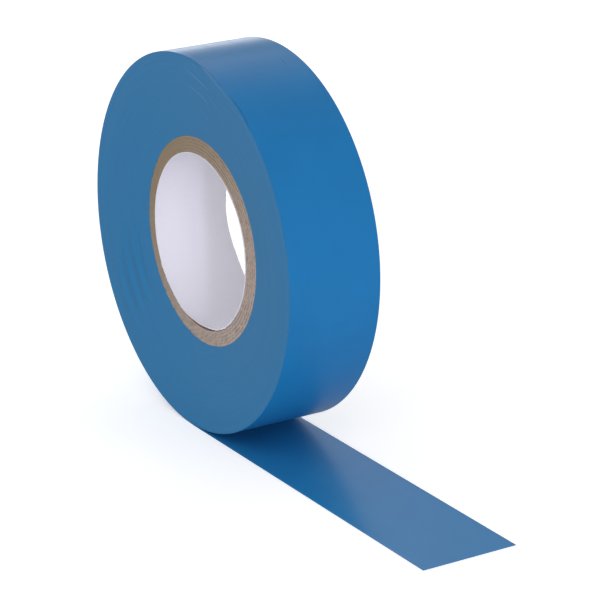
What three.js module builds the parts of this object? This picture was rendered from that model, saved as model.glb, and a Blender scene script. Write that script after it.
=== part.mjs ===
// Roll of PVC electrical insulating tape standing on edge, with its free end run out flat.
// Millimetres, +Z up. The roll's axis lies along Y and the run-out tape points along +X.
// The origin is under the middle of the whole object, on the surface it stands on.
import * as THREE from 'three';

// Driving dimensions.
const TAPE_WIDTH = 19;
const ROLL_DIAMETER = 72;
const CORE_DIAMETER = 39.7;
const BORE_DIAMETER = 33.5;
const RUN_OUT_LENGTH = 78;

// The tape is a film with an adhesive coat on the side that faces the roll's axis.
const FILM_THICKNESS = 0.105;
const ADHESIVE_THICKNESS = 0.02;
const COAT_GAP = 0.005;
const TAPE_THICKNESS = FILM_THICKNESS + COAT_GAP + ADHESIVE_THICKNESS;

// The run-out tape: a length that lies by the roll, then short lengths that can bend up.
const LAID_LENGTH = 30;
const BEND_COUNT = 12;
const BEND_GAP = 0.06;
const TANGENT_GAP = 0.03;

// Both sides of the roll are dished: flat near the rim, then falling towards the core.
const RIM_FLAT = 1.8;
const FRONT_DISH = 2.67;
const BACK_DISH = 1.1;

// The core: board plies with a paper liner inside, cut a little proud at the bore.
const PLY_COUNT = 5;
const LINER_THICKNESS = 0.16;
const GLUE_LINE = 0.03;
const BORE_EDGE_PROUD = 0.42;

// Clearance between the outermost turn and the turns that move under it.
const TURN_CLEARANCE = 0.02;

const ROLL_SEGMENTS = 96;
const CORE_SEGMENTS = 64;

// Derived sizes and places.
const ROLL_RADIUS = ROLL_DIAMETER / 2;
const CORE_RADIUS = CORE_DIAMETER / 2;
const BORE_RADIUS = BORE_DIAMETER / 2;
const HALF_WIDTH = TAPE_WIDTH / 2;
const ROLL_X = (ROLL_RADIUS - RUN_OUT_LENGTH) / 2;
const BEND_LENGTH = (RUN_OUT_LENGTH - LAID_LENGTH) / BEND_COUNT;
const SPIRAL_PITCH = TAPE_THICKNESS + TURN_CLEARANCE;
const FACET_SHRINK = Math.cos(Math.PI / ROLL_SEGMENTS);
const PACK_RADIUS = (ROLL_RADIUS - SPIRAL_PITCH - TAPE_THICKNESS) * FACET_SHRINK - TURN_CLEARANCE;

const paint = (color, roughness) => new THREE.MeshStandardMaterial({ color, roughness, metalness: 0 });
const filmMaterial = () => paint(0x2372b4, 0.28);
const adhesiveMaterial = () => paint(0x2a64a0, 0.2);
const turnEdgeMaterial = () => paint(0x3f719b, 0.55);
const boardMaterial = () => paint(0xa08c7c, 0.9);
const linerMaterial = () => paint(0xdad7ea, 0.8);

const roll = new THREE.Group();
roll.position.set(ROLL_X, 0, ROLL_RADIUS);

const runOut = new THREE.Group();
runOut.position.set(ROLL_X, 0, 0);

const tapeRoll = new THREE.Group();
tapeRoll.add(roll, runOut);

function addMesh(group, name, geometry, material) {
  const mesh = new THREE.Mesh(geometry, material);
  mesh.name = name;
  group.add(mesh);
  return mesh;
}

// A ring about the Y axis from a closed outline of [radius, y] corners, with a facet at the bottom.
function ringGeometry(corners, segments) {
  const outline = [...corners, corners[0]].map(([radius, y]) => new THREE.Vector2(radius, y));
  return new THREE.LatheGeometry(outline, segments, Math.PI / segments);
}

function tubeGeometry(innerRadius, outerRadius, yFront, yBack, segments) {
  const corners = [
    [innerRadius, yFront],
    [outerRadius, yFront],
    [outerRadius, yBack],
    [innerRadius, yBack],
  ];
  return ringGeometry(corners, segments);
}

// One turn of a layer of tape, from where it leaves the surface, up the far side and back over.
// Its radius falls by one tape thickness in the turn, so its end lies on top of the run-out.
function turnGeometry(startOuterRadius, thickness) {
  const pointAt = (step, radius) => {
    const turned = (step / ROLL_SEGMENTS) * 2 * Math.PI;
    const spiralRadius = radius - (SPIRAL_PITCH * step) / ROLL_SEGMENTS;
    return new THREE.Vector2(-spiralRadius * Math.sin(turned), -spiralRadius * Math.cos(turned));
  };
  const steps = Array.from({ length: ROLL_SEGMENTS + 1 }, (_, step) => step);
  const outer = steps.map((step) => pointAt(step, startOuterRadius));
  const inner = steps.map((step) => pointAt(step, startOuterRadius - thickness)).reverse();
  const outline = new THREE.Shape([...outer, ...inner]);
  const geometry = new THREE.ExtrudeGeometry(outline, { depth: TAPE_WIDTH, bevelEnabled: false });
  geometry.rotateX(Math.PI / 2);
  geometry.translate(0, HALF_WIDTH, 0);
  return geometry;
}

// The turns wound under the outermost one, as one body between the core and the outermost turn.
function addWoundTape() {
  const coreSide = CORE_RADIUS + GLUE_LINE;
  const rimFlatRadius = PACK_RADIUS - RIM_FLAT;
  const corners = [
    [coreSide, -HALF_WIDTH + FRONT_DISH],
    [rimFlatRadius, -HALF_WIDTH],
    [PACK_RADIUS, -HALF_WIDTH],
    [PACK_RADIUS, HALF_WIDTH],
    [rimFlatRadius, HALF_WIDTH],
    [coreSide, HALF_WIDTH - BACK_DISH],
  ];
  addMesh(roll, 'wound_tape', ringGeometry(corners, ROLL_SEGMENTS), turnEdgeMaterial());
}

function addOuterTurn() {
  const film = turnGeometry(ROLL_RADIUS, FILM_THICKNESS);
  const adhesive = turnGeometry(ROLL_RADIUS - FILM_THICKNESS - COAT_GAP, ADHESIVE_THICKNESS);
  addMesh(roll, 'outer_turn_film', film, filmMaterial());
  addMesh(roll, 'outer_turn_adhesive', adhesive, adhesiveMaterial());
}

// Nested board plies. Each ply inwards is cut a little longer, as the blade pushes the edge out.
function addCore() {
  const backEnd = HALF_WIDTH - BACK_DISH;
  const linerFront = -HALF_WIDTH + FRONT_DISH - BORE_EDGE_PROUD;
  const linerOuter = BORE_RADIUS + LINER_THICKNESS;
  const liner = tubeGeometry(BORE_RADIUS, linerOuter, linerFront, backEnd, CORE_SEGMENTS);
  addMesh(roll, 'core_liner', liner, linerMaterial());

  const firstPlyInner = linerOuter + GLUE_LINE;
  const plyPitch = (CORE_RADIUS + GLUE_LINE - firstPlyInner) / PLY_COUNT;
  for (let ply = 0; ply < PLY_COUNT; ply += 1) {
    const inner = firstPlyInner + ply * plyPitch;
    const outer = inner + plyPitch - GLUE_LINE;
    const front = linerFront + (BORE_EDGE_PROUD * (ply + 1)) / PLY_COUNT;
    const geometry = tubeGeometry(inner, outer, front, backEnd, CORE_SEGMENTS);
    addMesh(roll, `core_ply_${ply + 1}`, geometry, boardMaterial());
  }
}

// A flat length of tape on the surface: the film underneath and its adhesive coat on top.
function addFlatTape(xStart, xEnd, filmName, adhesiveName) {
  const length = xEnd - xStart;
  const middle = (xStart + xEnd) / 2;
  const film = new THREE.BoxGeometry(length, TAPE_WIDTH, FILM_THICKNESS);
  const adhesive = new THREE.BoxGeometry(length, TAPE_WIDTH, ADHESIVE_THICKNESS);
  const filmMesh = addMesh(runOut, filmName, film, filmMaterial());
  filmMesh.position.set(middle, 0, FILM_THICKNESS / 2);
  const adhesiveMesh = addMesh(runOut, adhesiveName, adhesive, adhesiveMaterial());
  adhesiveMesh.position.set(middle, 0, TAPE_THICKNESS - ADHESIVE_THICKNESS / 2);
}

function addRunOut() {
  addFlatTape(TANGENT_GAP, LAID_LENGTH - BEND_GAP / 2, 'laid_film', 'laid_adhesive');
  for (let bend = 0; bend < BEND_COUNT; bend += 1) {
    const start = LAID_LENGTH + bend * BEND_LENGTH;
    const isLast = bend === BEND_COUNT - 1;
    const xStart = start + BEND_GAP / 2;
    const xEnd = start + BEND_LENGTH - (isLast ? 0 : BEND_GAP / 2);
    addFlatTape(xStart, xEnd, `tail_film_${bend + 1}`, `tail_adhesive_${bend + 1}`);
  }
}

addCore();
addWoundTape();
addOuterTurn();
addRunOut();

export default tapeRoll;
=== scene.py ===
import math

import bpy
import numpy as np
from mathutils import Matrix, Vector


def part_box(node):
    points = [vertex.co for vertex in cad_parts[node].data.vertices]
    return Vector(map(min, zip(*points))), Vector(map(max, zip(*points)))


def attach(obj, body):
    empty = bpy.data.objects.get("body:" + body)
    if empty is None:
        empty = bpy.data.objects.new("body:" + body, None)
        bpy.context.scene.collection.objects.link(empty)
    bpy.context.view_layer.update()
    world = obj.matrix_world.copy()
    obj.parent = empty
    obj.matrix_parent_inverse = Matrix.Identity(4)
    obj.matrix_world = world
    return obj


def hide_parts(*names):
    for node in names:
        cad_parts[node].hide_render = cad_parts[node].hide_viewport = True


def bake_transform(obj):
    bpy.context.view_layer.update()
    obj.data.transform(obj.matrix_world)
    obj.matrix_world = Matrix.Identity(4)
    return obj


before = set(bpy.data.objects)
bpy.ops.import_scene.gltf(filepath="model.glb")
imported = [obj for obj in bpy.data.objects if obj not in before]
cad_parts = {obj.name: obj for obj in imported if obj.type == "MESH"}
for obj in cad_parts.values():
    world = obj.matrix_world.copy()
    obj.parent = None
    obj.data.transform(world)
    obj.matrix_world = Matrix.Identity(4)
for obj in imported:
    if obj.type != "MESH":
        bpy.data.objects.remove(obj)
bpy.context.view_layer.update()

MM = 0.001
TURN = 2 * math.pi
random_source = np.random.default_rng(19)

# ---------------------------------------------------------------- sizes, from the CAD parts

PLY_COUNT = 5
BEND_COUNT = 12


def corners(node):
    """The lowest and highest corners of a CAD node."""
    low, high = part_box(node)
    return Vector(low), Vector(high)


liner_low, liner_high = corners("core_liner")
last_ply_low, last_ply_high = corners(f"core_ply_{PLY_COUNT}")
pack_low, pack_high = corners("wound_tape")
film_top = corners("laid_film")[1].z
coat_bottom, coat_top = (corner.z for corner in corners("laid_adhesive"))
free_end_high = corners(f"tail_film_{BEND_COUNT}")[1]

ROLL_X = (liner_low.x + liner_high.x) / 2
ROLL_RADIUS = (liner_low.z + liner_high.z) / 2
CENTRE = (ROLL_X, 0, ROLL_RADIUS)
HALF_WIDTH = pack_high.y
PACK_RADIUS = (pack_high.z - pack_low.z) / 2
CORE_RADIUS = (last_ply_high.z - last_ply_low.z) / 2
FILM = film_top
TAPE = coat_top
END_X = free_end_high.x

LINER = 0.16 * MM
GLUE_LINE = 0.03 * MM
BORE_RADIUS = (liner_high.z - liner_low.z) / 2 - LINER
FIRST_PLY_RADIUS = BORE_RADIUS + LINER + GLUE_LINE
PLY_PITCH = (CORE_RADIUS + GLUE_LINE - FIRST_PLY_RADIUS) / PLY_COUNT

# The outermost turn's radius falls by a step in the turn, and the other turns lie just under it.
TURN_STEP = TAPE + 0.02 * MM
UNDER_OUTER_TURN = ROLL_RADIUS - TURN_STEP - TAPE - 0.01 * MM
TURN_PITCH = 0.14 * MM
GROOVE = 0.012 * MM

# Each side is flat near its rim, which is slightly rounded, then falls towards the core.
RIM_FLAT = 1.8 * MM
RIM_EASE = 2.4 * MM
RIM_ROUNDING = 0.05 * MM
RIM_ROUNDING_REACH = 0.35 * MM
FRONT_DISH = last_ply_low.y + HALF_WIDTH
BACK_DISH = HALF_WIDTH - last_ply_high.y

BEND_LENGTH = 4 * MM
HALF_BEND = BEND_LENGTH / 2
FIRST_BEND_X = END_X - BEND_COUNT * BEND_LENGTH

# Columns round each kind of ring.
TURN_COLUMNS = 192
PLY_COLUMNS = 320
LINER_COLUMNS = 384


# ---------------------------------------------------------------- camera, lights and floor


def make_camera():
    """A long lens that looks down at the roll from the front right."""
    azimuth, elevation, tilt = (math.radians(degrees) for degrees in (58.59, 19.49, -0.643))
    distance, to_right, down = 0.5472, 0.01253, 0.01207
    back = Vector(
        (
            math.sin(azimuth) * math.cos(elevation),
            -math.cos(azimuth) * math.cos(elevation),
            math.sin(elevation),
        )
    )
    right = Vector((math.cos(azimuth), math.sin(azimuth), 0))
    up = back.cross(right)
    right, up = (
        right * math.cos(tilt) + up * math.sin(tilt),
        up * math.cos(tilt) - right * math.sin(tilt),
    )
    eye = Vector(CENTRE) + back * distance + right * to_right - up * down
    camera = bpy.data.objects.new("camera", bpy.data.cameras.new("camera"))
    camera.data.sensor_width = 36
    camera.data.lens = 176.08
    camera.data.clip_start = 0.01
    camera.matrix_world = Matrix.Translation(eye) @ Matrix((right, up, back)).transposed().to_4x4()
    bpy.context.scene.collection.objects.link(camera)
    bpy.context.scene.camera = camera


def soft_light(name, place, size, power, colour=(1, 1, 1)):
    """A soft box aimed at the roll. The camera doesn't see it, only its light."""
    light = bpy.data.lights.new(name, "AREA")
    light.shape = "RECTANGLE"
    light.size, light.size_y = size
    light.energy = power
    light.color = colour
    lamp = bpy.data.objects.new(name, light)
    lamp.location = place
    lamp.visible_camera = False
    lamp.rotation_mode = "QUATERNION"
    lamp.rotation_quaternion = (Vector(CENTRE) - Vector(place)).to_track_quat("-Z", "Y")
    bpy.context.scene.collection.objects.link(lamp)


def make_lights():
    """A low key light to the right, and large soft boxes by the camera, at the left and at the back."""
    soft_light("key", (0.775, -0.20, 0.12), (0.2, 0.2), 1.0)
    soft_light("beside_key", (0.75, -0.255, 0.10), (0.05, 0.2), 1.0, (0.78, 0.74, 1.0))
    soft_light("camera_low", (0.65, -0.50, 0.09), (0.5, 0.14), 1.75)
    soft_light("camera_high", (0.45, -0.45, 0.60), (0.5, 0.5), 0.95)
    soft_light("front_left", (-0.60, -0.60, 0.36), (0.5, 0.4), 1.24)
    soft_light("left_low", (-1.00, 0.00, 0.10), (1.4, 0.2), 2.2)
    soft_light("left_middle", (-0.95, 0.00, 0.34), (1.2, 0.24), 0.35)
    soft_light("left_high", (-0.75, 0.10, 0.65), (0.9, 0.3), 1.4)
    soft_light("back_high", (-0.25, 0.60, 0.72), (0.7, 0.3), 0.88)
    soft_light("back_fill", (0.35, 0.95, 0.30), (0.8, 0.4), 0.8)


def make_world():
    """Dim and even for the light it gives, and white where it is seen behind the object."""
    world = bpy.data.worlds.new("studio")
    world.use_nodes = True
    bpy.context.scene.world = world
    nodes, links = world.node_tree.nodes, world.node_tree.links
    nodes.clear()
    around = nodes.new("ShaderNodeBackground")
    around.inputs[0].default_value = (0.45, 0.45, 0.45, 1)
    seen = nodes.new("ShaderNodeBackground")
    seen.inputs[0].default_value = (1, 1, 1, 1)
    rays = nodes.new("ShaderNodeLightPath")
    mix = nodes.new("ShaderNodeMixShader")
    links.new(rays.outputs["Is Camera Ray"], mix.inputs[0])
    links.new(around.outputs[0], mix.inputs[1])
    links.new(seen.outputs[0], mix.inputs[2])
    out = nodes.new("ShaderNodeOutputWorld")
    links.new(mix.outputs[0], out.inputs[0])


def make_floor():
    """A pale floor, seen as white but for the shadow by the roll, and duller for the light it returns."""
    reach, level = 0.6, -0.02 * MM
    sides = ((-reach, -reach), (reach, -reach), (reach, reach), (-reach, reach))
    outline = [(x, y, level) for x, y in sides]
    mesh = bpy.data.meshes.new("floor")
    mesh.from_pydata(outline, [], [(0, 1, 2, 3)])
    floor = bpy.data.objects.new("floor", mesh)
    bpy.context.scene.collection.objects.link(floor)
    paint = Shader("floor_paint")
    paint.bsdf.inputs["Roughness"].default_value = 0.9
    paint.bsdf.inputs["Specular IOR Level"].default_value = 0.0
    seen = paint.node("LightPath", {}).outputs["Is Camera Ray"]
    returned_light, seen_colour, seen_glow = (0.74, 0.74, 0.74), (0.9, 0.9, 0.9), 0.38
    paint.feed(
        Base_Color=paint.mix(seen, returned_light, seen_colour),
        Emission_Strength=paint.math("MULTIPLY", seen, seen_glow),
    )
    paint.set(Emission_Color=(1, 1, 1, 1))
    floor.data.materials.append(paint.material)


# ---------------------------------------------------------------- shader building


class Shader:
    """A material with a Principled shader, and short calls for the nodes that feed it.
    In a call's arguments, a node's socket is linked and a plain value is set."""

    def __init__(self, name):
        self.material = bpy.data.materials.new(name)
        self.material.use_nodes = True
        self.tree = self.material.node_tree
        self.bsdf = self.tree.nodes["Principled BSDF"]

    def set(self, **values):
        """Sets the Principled shader's own inputs."""
        for name, value in values.items():
            self.bsdf.inputs[name.replace("_", " ")].default_value = value

    def node(self, kind, inputs, **settings):
        """A node of a kind, with its inputs by name or number and its settings."""
        made = self.tree.nodes.new("ShaderNode" + kind)
        for name, value in settings.items():
            setattr(made, name, value)
        for key, value in inputs.items():
            if isinstance(value, bpy.types.NodeSocket):
                self.tree.links.new(value, made.inputs[key])
            else:
                made.inputs[key].default_value = value
        return made

    def math(self, operation, a, b=0.0):
        """An operation on two numbers."""
        return self.node("Math", {0: a, 1: b}, operation=operation).outputs[0]

    def vector(self, operation, a, b):
        """An operation on two vectors."""
        return self.node("VectorMath", {0: a, 1: b}, operation=operation).outputs[0]

    def object_place(self):
        """The point's place in the piece, which moves and turns with it."""
        return self.node("TexCoord", {}).outputs["Object"]

    def flat_place(self):
        """The point's place on the tape before it was bent, from the piece's own UV map."""
        return self.node("UVMap", {}, uv_map="flat").outputs[0]

    def from_axis(self):
        """The point's place from the roll's centre, its part across the axis, and its radius."""
        from_centre = self.vector("SUBTRACT", self.object_place(), CENTRE)
        split = self.node("SeparateXYZ", {0: from_centre}).outputs
        across_axis = self.node("CombineXYZ", {0: split["X"], 2: split["Z"]}).outputs[0]
        radius = self.node("VectorMath", {0: across_axis}, operation="LENGTH").outputs["Value"]
        return split, across_axis, radius

    def ring_place(self, around, across, along):
        """A place for noise on the roll: steps of around, across the turns, and along the axis."""
        split, across_axis, radius = self.from_axis()
        turned = self.node("VectorMath", {0: across_axis}, operation="NORMALIZE").outputs[0]
        wide = self.node("VectorMath", {0: turned, "Scale": around}, operation="SCALE").outputs[0]
        parts = self.node("SeparateXYZ", {0: wide}).outputs
        depth = self.math("ADD", self.math("MULTIPLY", radius, across), parts["X"])
        length = self.math("MULTIPLY", split["Y"], along)
        return self.node("CombineXYZ", {0: depth, 1: parts["Z"], 2: length}).outputs[0]

    def across_core(self, direction, low, high):
        """A value that goes from low to high across the core in a direction."""
        from_centre = self.vector("SUBTRACT", self.object_place(), CENTRE)
        along = self.node("VectorMath", {0: from_centre, 1: direction}, operation="DOT_PRODUCT")
        ends = {1: -CORE_RADIUS, 2: CORE_RADIUS, 3: low, 4: high}
        return self.node("MapRange", {0: along.outputs["Value"], **ends}).outputs[0]

    def near_point(self, point, near, far):
        """A value that is 1 nearer than near to a point, and falls to 0 at far."""
        apart = self.node("VectorMath", {0: self.object_place(), 1: point}, operation="DISTANCE")
        ends = {1: near, 2: far, 3: 1.0, 4: 0.0}
        return self.node("MapRange", {0: apart.outputs["Value"], **ends}).outputs[0]

    def noise(self, place, scale, detail=2.0, roughness=0.5):
        """Cloudy noise from 0 to 1, most of it near a half."""
        inputs = {"Vector": place, "Scale": scale, "Detail": detail, "Roughness": roughness}
        return self.node("TexNoise", inputs).outputs["Fac"]

    def stretched(self, place, scales):
        """A place scaled by a different amount along each axis."""
        return self.vector("MULTIPLY", place, scales)

    def ramp(self, value, stops):
        """A colour, or a grey for a plain number, from stops of position and colour."""
        made = self.node("ValToRGB", {0: value})
        elements = made.color_ramp.elements
        while len(elements) < len(stops):
            elements.new(0.5)
        for element, (position, colour) in zip(elements, stops):
            element.position = position
            element.color = (*colour, 1) if hasattr(colour, "__len__") else (colour, colour, colour, 1)
        return made.outputs[0]

    def mix(self, share, a, b):
        """Colour a with a share of colour b over it."""
        made = self.tree.nodes.new("ShaderNodeMix")
        made.data_type = "RGBA"
        for key, value in ((0, share), (6, a), (7, b)):
            if isinstance(value, bpy.types.NodeSocket):
                self.tree.links.new(value, made.inputs[key])
            else:
                made.inputs[key].default_value = (*value, 1) if hasattr(value, "__len__") else value
        return made.outputs[2]

    def between(self, value, low, high):
        """A value from 0 to 1 moved to between low and high."""
        return self.node("MapRange", {0: value, 3: low, 4: high}).outputs[0]

    def bump(self, height, distance, strength=1.0, below=None):
        """A normal for a height of up to distance, on top of the bump below."""
        inputs = {"Height": height, "Distance": distance, "Strength": strength}
        if below is not None:
            inputs["Normal"] = below
        return self.node("Bump", inputs).outputs[0]

    def feed(self, **sockets):
        """Links nodes to the Principled shader's inputs."""
        for name, socket in sockets.items():
            self.tree.links.new(socket, self.bsdf.inputs[name.replace("_", " ")])


def film_shader():
    """Glossy calendered PVC: even blue, with faint lines round the roll and a slight orange peel."""
    made = Shader("pvc_film")
    peel_place = made.ring_place(0.036 / MM, 1 / MM, 1 / MM)
    peel = made.noise(peel_place, 0.55, 3)
    line_place = made.ring_place(2, 1 / MM, 1 / MM)
    lines = made.noise(line_place, 1.6, 4, 0.6)
    cloud_place = made.ring_place(3, 0, 0.1 / MM)
    clouds = made.noise(cloud_place, 1.0, 3)
    colour = made.ramp(clouds, [(0.3, (0.0120, 0.157, 0.383)), (0.7, (0.0132, 0.169, 0.410))])
    made.feed(
        Base_Color=colour,
        Roughness=made.between(lines, 0.24, 0.36),
        Normal=made.bump(peel, 0.004 * MM, 0.7, made.bump(lines, 0.0015 * MM, 0.4)),
    )
    made.set(Specular_IOR_Level=0.13)
    return made.material


def strip_shader(name, place_kind, dark, light, rough, lines_depth):
    """One side of the run-out tape, with faint lines along it left by the unwinding.
    The place kind is flat for tape that bends, and object for tape that stretches as it is laid."""
    made = Shader(name)
    place = made.flat_place() if place_kind == "flat" else made.object_place()
    lines = made.noise(made.stretched(place, (0.02 / MM, 1.2 / MM, 0)), 1.0, 4, 0.6)
    peel = made.noise(made.stretched(place, (1 / MM, 1 / MM, 0)), 0.5, 2)
    clouds = made.noise(made.stretched(place, (0.09 / MM, 0.12 / MM, 0)), 1.0, 3)
    made.feed(
        Base_Color=made.ramp(clouds, [(0.3, dark), (0.7, light)]),
        Roughness=made.between(lines, rough[0], rough[1]),
        Normal=made.bump(peel, 0.003 * MM, 0.6, made.bump(lines, lines_depth, 0.5)),
    )
    made.set(Specular_IOR_Level=0.31)
    return made.material


def turn_edge_shader(name):
    """The cut edges of the wound turns: hazier and greyer than the film's face, in fine rings,
    with dust in places and light scratches where the top of the front side has been handled."""
    made = Shader(name)
    fine_place = made.ring_place(0.8, 1 / MM, 0)
    fine = made.noise(fine_place, 3.6, 3, 0.7)
    band_place = made.ring_place(1.2, 0.55 / MM, 0)
    bands = made.noise(band_place, 1.0, 4, 0.6)
    dust_place = made.ring_place(30, 1 / MM, 0)
    dust = made.noise(dust_place, 2.0, 4, 0.7)
    blue = made.ramp(bands, [(0.25, (0.0150, 0.151, 0.336)), (0.75, (0.0175, 0.165, 0.360))])
    greyer = made.mix(made.between(fine, 0.0, 0.06), blue, (0.040, 0.180, 0.370))
    dusty = made.ramp(dust, [(0.62, 0.0), (0.80, 0.12)])
    scuffed = made.mix(dusty, greyer, (0.14, 0.27, 0.43))
    scratch_place = made.ring_place(5, 1 / MM, 0)
    scratches = made.ramp(made.noise(scratch_place, 1.4, 2, 0.6), [(0.56, 0.0), (0.66, 0.5)])
    handled_place = (ROLL_X + 6.7 * MM, -9.3 * MM, ROLL_RADIUS + 31.6 * MM)
    handled = made.near_point(handled_place, 3 * MM, 9 * MM)
    scuffed = made.mix(made.math("MULTIPLY", scratches, handled), scuffed, (0.16, 0.27, 0.40))
    made.feed(
        Base_Color=scuffed,
        Roughness=made.between(bands, 0.46, 0.66),
        Normal=made.bump(fine, 0.006 * MM, 0.6),
    )
    made.set(Specular_IOR_Level=0.25)
    return made.material


def board_shader(ply):
    """Grey-brown recycled board: fibres along the ply, specks, and a darker glue line at its edges."""
    made = Shader(f"board_ply_{ply}")
    inner = FIRST_PLY_RADIUS + (ply - 1) * PLY_PITCH
    fibre_place = made.ring_place(9, 1 / MM, 0.6 / MM)
    fibres = made.noise(fibre_place, 3.0, 5, 0.7)
    speck_place = made.ring_place(18, 1 / MM, 1 / MM)
    specks = made.noise(speck_place, 2.2, 3, 0.6)
    radius = made.from_axis()[2]
    depth = made.math("DIVIDE", made.math("SUBTRACT", radius, inner), PLY_PITCH - GLUE_LINE)
    off_middle = made.math("ABSOLUTE", made.math("SUBTRACT", depth, 0.5))
    glue = made.ramp(off_middle, [(0.36, 0.0), (0.5, 1.0)])
    dark_fibre, mid_fibre, light_fibre = (0.24, 0.190, 0.160), (0.375, 0.305, 0.265), (0.50, 0.420, 0.375)
    board = made.ramp(fibres, [(0.32, dark_fibre), (0.5, mid_fibre), (0.68, light_fibre)])
    blotch_place = made.ring_place(14, 0.5 / MM, 0.5 / MM)
    blotches = made.noise(blotch_place, 1.5, 3, 0.6)
    board = made.mix(made.ramp(blotches, [(0.42, 0.0), (0.62, 0.6)]), board, (0.455, 0.365, 0.325))
    browner = made.across_core((-0.75, 0, 0.65), 0.0, 0.95)
    board = made.mix(browner, board, (0.240, 0.182, 0.110))
    speckled = made.mix(made.ramp(specks, [(0.62, 0.0), (0.72, 0.35)]), board, (0.19, 0.145, 0.115))
    made.feed(
        Base_Color=made.mix(made.math("MULTIPLY", glue, 0.08), speckled, (0.16, 0.12, 0.09)),
        Normal=made.bump(fibres, 0.05 * MM, 0.7),
    )
    made.set(Roughness=0.92, Specular_IOR_Level=0.25)
    return made.material


def liner_shader():
    """Bleached paper with faint fibres and a slightly cloudy colour."""
    made = Shader("paper_liner")
    fibre_place = made.ring_place(17, 1 / MM, 0.8 / MM)
    fibres = made.noise(fibre_place, 1.6, 5, 0.65)
    clouds_place = made.ring_place(3, 0, 0.15 / MM)
    clouds = made.noise(clouds_place, 1.3, 3)
    paper = made.ramp(fibres, [(0.3, (0.693, 0.680, 0.748)), (0.7, (0.717, 0.704, 0.771))])
    made.feed(
        Base_Color=made.mix(made.between(clouds, 0, 0.2), paper, (0.72, 0.70, 0.74)),
        Normal=made.bump(fibres, 0.01 * MM, 0.4),
    )
    made.set(Roughness=0.8, Specular_IOR_Level=0.3)
    return made.material


# ---------------------------------------------------------------- mesh building


def add_piece(name, vertices, faces, material, sharp_degrees=35):
    """A closed mesh object with its faces turned outwards."""
    vertices = np.asarray(vertices, float)
    faces = [list(face) for face in faces]
    mesh = bpy.data.meshes.new(name)
    mesh.from_pydata(vertices.tolist(), [], faces)
    if signed_volume(mesh) < 0:
        mesh.flip_normals()
    mesh.shade_smooth()
    mesh.set_sharp_from_angle(angle=math.radians(sharp_degrees))
    mesh.materials.append(material)
    piece = bpy.data.objects.new(name, mesh)
    bpy.context.scene.collection.objects.link(piece)
    return piece


def signed_volume(mesh):
    """The mesh's volume, negative if its faces point in."""
    mesh.calc_loop_triangles()
    vertex = np.empty(len(mesh.loop_triangles) * 3, np.int32)
    mesh.loop_triangles.foreach_get("vertices", vertex)
    points = np.empty(len(mesh.vertices) * 3, np.float32)
    mesh.vertices.foreach_get("co", points)
    a, b, c = points.reshape(-1, 3)[vertex].reshape(-1, 3, 3).transpose(1, 0, 2).astype(float)
    return float(np.einsum("ij,ij->", a, np.cross(b, c))) / 6


def grid_faces(rows, columns, close_rows, close_columns):
    """The square faces between a grid's points, joined round at its ends where that is asked for."""
    row_count = rows if close_rows else rows - 1
    column_count = columns if close_columns else columns - 1
    row, column = np.indices((row_count, column_count))
    next_row, next_column = (row + 1) % rows, (column + 1) % columns
    square = [
        row * columns + column,
        next_row * columns + column,
        next_row * columns + next_column,
        row * columns + next_column,
    ]
    return np.stack(square, -1).reshape(-1, 4)


def ring_angles(columns):
    """Angles round the roll from its lowest point, rising first on the side away from the run-out."""
    return np.arange(columns) * TURN / columns


def add_ring(name, radius, y, material, sharp_degrees=35):
    """A ring round the roll's axis. radius and y are tables of rows round its section by columns."""
    rows, columns = radius.shape
    angle = ring_angles(columns)
    x = ROLL_X - radius * np.sin(angle)
    z = ROLL_RADIUS - radius * np.cos(angle)
    vertices = np.stack([x, y, z], -1).reshape(-1, 3)
    return add_piece(name, vertices, grid_faces(rows, columns, True, True), material, sharp_degrees)


def ring_noise(columns, lowest, highest, falloff=1.0):
    """A random wave that closes on itself, of unit size, with lowest to highest waves round the ring."""
    angle = ring_angles(columns)
    waves = np.arange(lowest, highest + 1)
    size = (waves / lowest) ** -falloff * random_source.normal(size=len(waves))
    phase = random_source.uniform(0, TURN, len(waves))
    wave = (size[:, None] * np.cos(waves[:, None] * angle + phase[:, None])).sum(0)
    return wave / max(wave.std(), 1e-9)


def beside(angle, centre, spread, power=2):
    """A hump round the ring: 1 at the centre angle and falling away over the spread, in degrees."""
    turned = (angle - math.radians(centre) + math.pi) % TURN - math.pi
    return np.exp(-(np.abs(turned / math.radians(spread)) ** power))


def smooth_random(count, reach):
    """Random values of unit size that change slowly from one to the next."""
    margin = 3 * reach
    raw = random_source.normal(size=count + 2 * margin)
    kernel = np.exp(-0.5 * (np.arange(-margin, margin + 1) / reach) ** 2)
    values = np.convolve(raw, kernel, "same")[margin : margin + count]
    return values / values.std()


# ---------------------------------------------------------------- the wound turns


def dish(radius, depth):
    """How far a side of the roll is sunk at a radius: nothing at the rim, depth at the core."""
    rim_flat_radius = PACK_RADIUS - RIM_FLAT
    inwards = rim_flat_radius - radius
    eased = (inwards + np.sqrt(inwards**2 + RIM_EASE**2)) / 2
    return depth * eased / (rim_flat_radius - CORE_RADIUS)


def turn_heights(turn_radii, angle, bunches):
    """How far each turn's edge stands proud, in millimetres, as a table of turns by columns.
    A bunch is its radius, its width, its angle, the angle it spreads over, and its height."""
    count = len(turn_radii)
    drift = 0.003 * smooth_random(count, 5)[:, None] + 0.002 * random_source.normal(size=(count, 1))
    wobble = sum(
        0.004 * smooth_random(count, 6)[:, None] * np.cos(waves * angle + random_source.uniform(0, TURN))
        for waves in (1, 2, 3, 5)
    )
    stray = np.stack([ring_noise(len(angle), 3, 24, 0.7) for _ in range(count)]) * 0.003
    height = drift + wobble + stray
    for radius, width, centre, spread, rise in bunches:
        near = np.exp(-(((turn_radii / MM - radius) / width) ** 2))[:, None]
        height = height + rise * near * beside(angle, centre, spread, 4)
    return height


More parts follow.
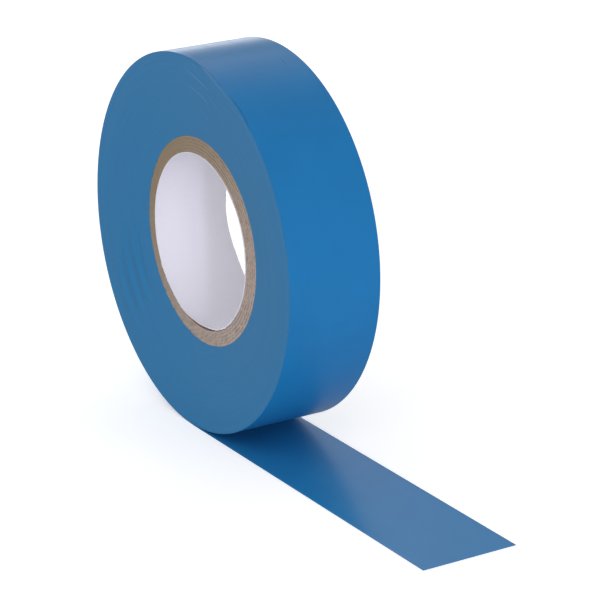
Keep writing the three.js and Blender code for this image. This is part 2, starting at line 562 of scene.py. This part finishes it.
def turn_side(turn_radii, depth, bunches):
    """One side of the wound turns: each turn's edge is a ridge with a groove before it."""
    ridge_start, flush_width = 0.6 * TURN_PITCH, 1.2 * MM
    height = turn_heights(turn_radii, ring_angles(TURN_COLUMNS), bunches) * MM
    radius_rows, sunk_rows = [], []
    for inner, turn_height in zip(turn_radii, height):
        for radius, deeper in ((inner, GROOVE), (inner + ridge_start, 0.0)):
            radius_rows.append(np.full(TURN_COLUMNS, radius))
            sunk_rows.append(dish(radius, depth) + deeper - turn_height)
    radius_rows, sunk_rows = np.array(radius_rows), np.array(sunk_rows)
    from_rim = UNDER_OUTER_TURN - radius_rows
    rounded = RIM_ROUNDING * np.exp(-from_rim / RIM_ROUNDING_REACH)
    return radius_rows, sunk_rows * np.clip(from_rim / flush_width, 0, 1) + rounded


def make_wound_tape():
    """The turns under the outermost one, with bunches of turns that stand proud or lie low."""
    inner = CORE_RADIUS + GLUE_LINE
    turn_radii = np.arange(inner, UNDER_OUTER_TURN - 0.8 * TURN_PITCH, TURN_PITCH)
    front_bunches = [
        (32.0, 0.40, 56, 11, 0.12),
        (30.4, 0.42, 60, 13, -0.15),
        (28.8, 0.42, 62, 14, 0.22),
        (27.2, 0.42, 64, 16, -0.16),
        (25.6, 0.42, 66, 16, 0.22),
        (24.0, 0.40, 66, 18, -0.13),
        (34.4, 0.25, 160, 9, 0.05),
        (33.0, 0.20, 205, 6, 0.07),
        (25.8, 0.60, 300, 40, 0.02),
    ]
    back_bunches = [(31.5, 0.5, 150, 40, 0.06), (26.0, 0.7, 20, 30, 0.05), (22.9, 0.4, 260, 50, 0.05)]
    front_radius, front_sunk = turn_side(turn_radii, FRONT_DISH, front_bunches)
    back_radius, back_sunk = turn_side(turn_radii, BACK_DISH, back_bunches)
    wall = np.full((1, TURN_COLUMNS), UNDER_OUTER_TURN)
    edge = np.full((1, TURN_COLUMNS), HALF_WIDTH - RIM_ROUNDING)
    radius = np.concatenate([front_radius, wall, wall, back_radius[::-1]])
    y = np.concatenate([-HALF_WIDTH + front_sunk, -edge, edge, (HALF_WIDTH - back_sunk)[::-1]])
    piece = add_ring("turn_pack", radius, y, turn_edge_shader("turn_edges"), 80)
    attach(piece, "roll")
    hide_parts("wound_tape")


# ---------------------------------------------------------------- layers of tape along a path


def add_layer(name, path, depths, material, half_width=HALF_WIDTH, waver=0.0, nick=0.0):
    """A layer of tape along a path of points with a direction into the tape at each.
    depths are where the layer starts and ends under the path, as numbers or along it.
    nick is how far the front edge is pulled in, as a number or along the path."""
    points, inwards = path
    count = len(points)
    edge = half_width + waver * smooth_random(count, 12)
    across = np.linspace(-1, 1, 13)
    rows = []
    for depth, shares in ((depths[0], across), (depths[1], across[::-1])):
        at = points + inwards * np.broadcast_to(depth, count)[:, None]
        for share in shares:
            y = (edge - nick if share < 0 else edge) * share
            rows.append(np.stack([at[:, 0], y, at[:, 1]], -1))
    rows = np.array(rows)
    section = len(rows)
    faces = grid_faces(section, count, True, False).tolist()
    faces.append([row * count for row in range(section)])
    faces.append([row * count + count - 1 for row in range(section)][::-1])
    piece = add_piece(name, rows.reshape(-1, 3), faces, material)
    length = np.concatenate([[0], np.cumsum(np.linalg.norm(np.diff(points, axis=0), axis=1))])
    along = np.tile(points[0][0] + length, section)
    add_flat_place(piece, along, rows[:, :, 1].reshape(-1))
    return piece


def add_flat_place(piece, along, wide):
    """Keeps each vertex's place on the tape while it is flat, as a UV map."""
    vertex = np.empty(len(piece.data.loops), np.int32)
    piece.data.loops.foreach_get("vertex_index", vertex)
    flat = piece.data.uv_layers.new(name="flat")
    flat.data.foreach_set("uv", np.stack([along[vertex], wide[vertex]], -1).astype(np.float32).ravel())


def turn_path():
    """The outermost turn's outer face, from where it leaves the surface and once round."""
    turned = np.linspace(0, TURN, 289)
    radius = ROLL_RADIUS - TURN_STEP * turned / TURN
    outwards = np.stack([-np.sin(turned), -np.cos(turned)], -1)
    centre = np.array([ROLL_X, ROLL_RADIUS])
    return centre + outwards * radius[:, None], -outwards


def flat_path(x_start, x_end):
    """A path along the surface, with the tape above it."""
    step = 0.5 * MM
    count = max(3, round((x_end - x_start) / step) + 1)
    x = np.linspace(x_start, x_end, count)
    return np.stack([x, np.zeros(count)], -1), np.tile([0.0, 1.0], (count, 1))


def make_outer_turn():
    """The outermost turn, with a nick in its front edge. Its adhesive fills the wedge down to the
    turn under it. The clearance there changes, so that the wedge's two ends don't share an edge."""
    points, inwards = turn_path()
    edge, waver = HALF_WIDTH - RIM_ROUNDING, 0.015 * MM
    nick = 0.28 * MM * beside(np.linspace(0, TURN, len(points)), 214, 5, 4)
    film = add_layer("outermost_film", (points, inwards), (0, FILM), film_shader(), edge, waver, nick)
    radius = np.linalg.norm(points - [ROLL_X, ROLL_RADIUS], axis=1)
    clearance = np.linspace(0.008, 0.004, len(points)) * MM
    coat_depths = (FILM, radius - UNDER_OUTER_TURN - clearance)
    edge_material = turn_edge_shader("outer_turn_edge")
    coat = add_layer("outermost_adhesive", (points, inwards), coat_depths, edge_material, edge)
    layers = ((film, "outer_turn_film", "film"), (coat, "outer_turn_adhesive", "adhesive"))
    for piece, node, slot in layers:
        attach(piece, "outer_turn")
        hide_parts(node)


def adhesive_shader(place_kind):
    """The run-out tape's sticky side, which faces up."""
    return strip_shader(
        f"adhesive_{place_kind}",
        place_kind,
        dark=(0.0175, 0.187, 0.440),
        light=(0.0185, 0.200, 0.465),
        rough=(0.20, 0.30),
        lines_depth=0.0015 * MM,
    )


def backing_shader(place_kind):
    """The run-out tape's film side, which lies on the surface."""
    return strip_shader(
        f"film_strip_{place_kind}",
        place_kind,
        dark=(0.0120, 0.158, 0.395),
        light=(0.0132, 0.170, 0.423),
        rough=(0.24, 0.36),
        lines_depth=0.002 * MM,
    )


def make_run_out():
    """The laid tape and the free end, as flat strips of film and adhesive along the surface, cut at the
    hinges.
    Each stretch crosses one hinge and is listed with the body before it and the body after it; the body
    after it names the CAD nodes it replaces."""
    laid_end = FIRST_BEND_X - HALF_BEND
    stretches = [("laid", ROLL_X, laid_end, "outer_turn", "laid_tape", laid_end)]
    body = "laid_tape"
    for bend in range(1, BEND_COUNT + 1):
        start = FIRST_BEND_X + (bend - 1) * BEND_LENGTH - HALF_BEND
        blend_end = start + BEND_LENGTH
        end = END_X if bend == BEND_COUNT else blend_end
        next_body = f"tail_{bend}"
        stretches.append((f"free_end_{bend}", start, end, body, next_body, blend_end))
        body = next_body
    shaders = {kind: (backing_shader(kind), adhesive_shader(kind)) for kind in ("object", "flat")}
    for label, start, end, body_a, body_b, blend_end in stretches:
        film_material, coat_material = shaders["object" if label == "laid" else "flat"]
        layers = (
            ("film", (0, FILM), film_material),
            ("adhesive", (coat_bottom, TAPE), coat_material),
        )
        for layer, depths, material in layers:
            piece = add_layer(f"{label}_{layer}_strip", flat_path(start, end), depths, material)
            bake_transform(piece)
            node = f"laid_{layer}" if label == "laid" else body_b.replace("_", f"_{layer}_")
            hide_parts(node)


# ---------------------------------------------------------------- the core


def ply_ends(samples, front, back):
    """The y of a ply's two cut ends, rough with torn fibre, as tables of samples by columns."""
    rough, crowned, set_back = 0.035 * MM, 0.02 * MM, 0.04 * MM
    ends = []
    for place, side in ((front, -1), (back, 1)):
        ragged = ring_noise(PLY_COLUMNS, 4, 30, 0.5) * 0.3 + ring_noise(PLY_COLUMNS, 30, 140, 0.2) * 0.7
        crown = np.sin(np.linspace(0, math.pi, samples))[:, None] * crowned
        fuzz = random_source.normal(size=(samples, PLY_COLUMNS)) * 0.25
        ends.append(place + side * (crown + rough * (ragged + fuzz) - set_back))
    return ends


def make_ply(ply):
    """A board ply, wound from a strip: its two ends meet in a joint with a notch at each cut end."""
    samples = 5
    inner = FIRST_PLY_RADIUS + (ply - 1) * PLY_PITCH
    outer = inner + PLY_PITCH - GLUE_LINE
    low, high = corners(f"core_ply_{ply}")
    front, back = ply_ends(samples, low.y, high.y)
    joint = random_source.uniform(0, TURN)
    notch_depth, notch_width = 0.15 * MM, 0.25 * MM
    turned = (ring_angles(PLY_COLUMNS) - joint + math.pi) % TURN - math.pi
    notch = notch_depth * np.exp(-((turned * inner / notch_width) ** 2))
    front += notch
    back -= notch
    swell = 0.4 * GLUE_LINE  # into the glue lines on both sides, without touching the next ply
    radii = np.linspace(inner - swell, outer + swell, samples)[:, None] + np.zeros(PLY_COLUMNS)
    radius = np.concatenate([radii, radii[::-1]])
    y = np.concatenate([front, back[::-1]])
    piece = add_ring(f"board_ply_{ply}", radius, y, board_shader(ply), 50)
    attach(piece, "roll")
    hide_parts(f"core_ply_{ply}")


def make_liner():
    """The paper liner, come away from the board at the bottom and frayed over its edge beside that."""
    samples = 28
    angle = ring_angles(LINER_COLUMNS)
    share = np.linspace(0, 1, samples)[:, None] ** 1.5
    from_front = share * (liner_high.y - liner_low.y)

    frayed = beside(angle, -35, 24, 4)
    fibre_ends = np.abs(ring_noise(LINER_COLUMNS, 30, 170, 0.1))
    torn = frayed + 0.8 * beside(angle, 42, 32, 4)
    front = liner_low.y + MM * (0.012 * ring_noise(LINER_COLUMNS, 3, 30, 0.8) - 0.06 * torn * fibre_ends)
    longer_below = 0.45 * beside(angle, 50, 20) - 0.20 * beside(angle, 100, 22)
    back = liner_high.y + MM * (longer_below + 0.02 * ring_noise(LINER_COLUMNS, 8, 120, 0.4))
    y_inside = front + (back - front) * share

    seam_turns, seam_start, seam_width, seam_height = 0.55, 0.62, 0.012, 0.05 * MM
    past_seam = (angle / TURN - seam_start - seam_turns * share) % 1.0
    seam_fall = np.clip(1 - past_seam / seam_width, 0, 1) ** 0.5
    seam_step = seam_height * seam_fall * (past_seam < seam_width)

    slow_waves = ring_noise(LINER_COLUMNS, 3, 9, 0.8) * np.sin(share * 5)
    buckle = 0.012 * MM * (slow_waves + ring_noise(LINER_COLUMNS, 2, 7, 0.8))
    crumple = 1 + 0.3 * ring_noise(LINER_COLUMNS, 12, 50, 0.4)
    come_away = 0.56 * beside(angle, 1, 19, 3) + 0.2 * beside(angle, 38, 14)
    lift_reach, flare_reach = 2.8 * MM, 0.2 * MM
    lift = MM * (come_away + 0.12 * frayed * crumple) * np.exp(-from_front / lift_reach)
    flare = 0.14 * MM * frayed * fibre_ends * np.exp(-from_front / flare_reach)

    inside = BORE_RADIUS + buckle - seam_step - lift
    outside = np.minimum(inside + LINER * 0.9, BORE_RADIUS + LINER) + flare
    radius = np.concatenate([inside, outside[::-1]])
    y = np.concatenate([y_inside, y_inside[::-1]])
    piece = add_ring("paper_liner", radius, y, liner_shader(), 60)
    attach(piece, "roll")
    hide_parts("core_liner")


# ---------------------------------------------------------------- the scene

bpy.context.scene.view_settings.view_transform = "Standard"
make_camera()
make_lights()
make_world()
make_floor()
make_wound_tape()
make_outer_turn()
make_run_out()
for ply in range(1, PLY_COUNT + 1):
    make_ply(ply)
make_liner()
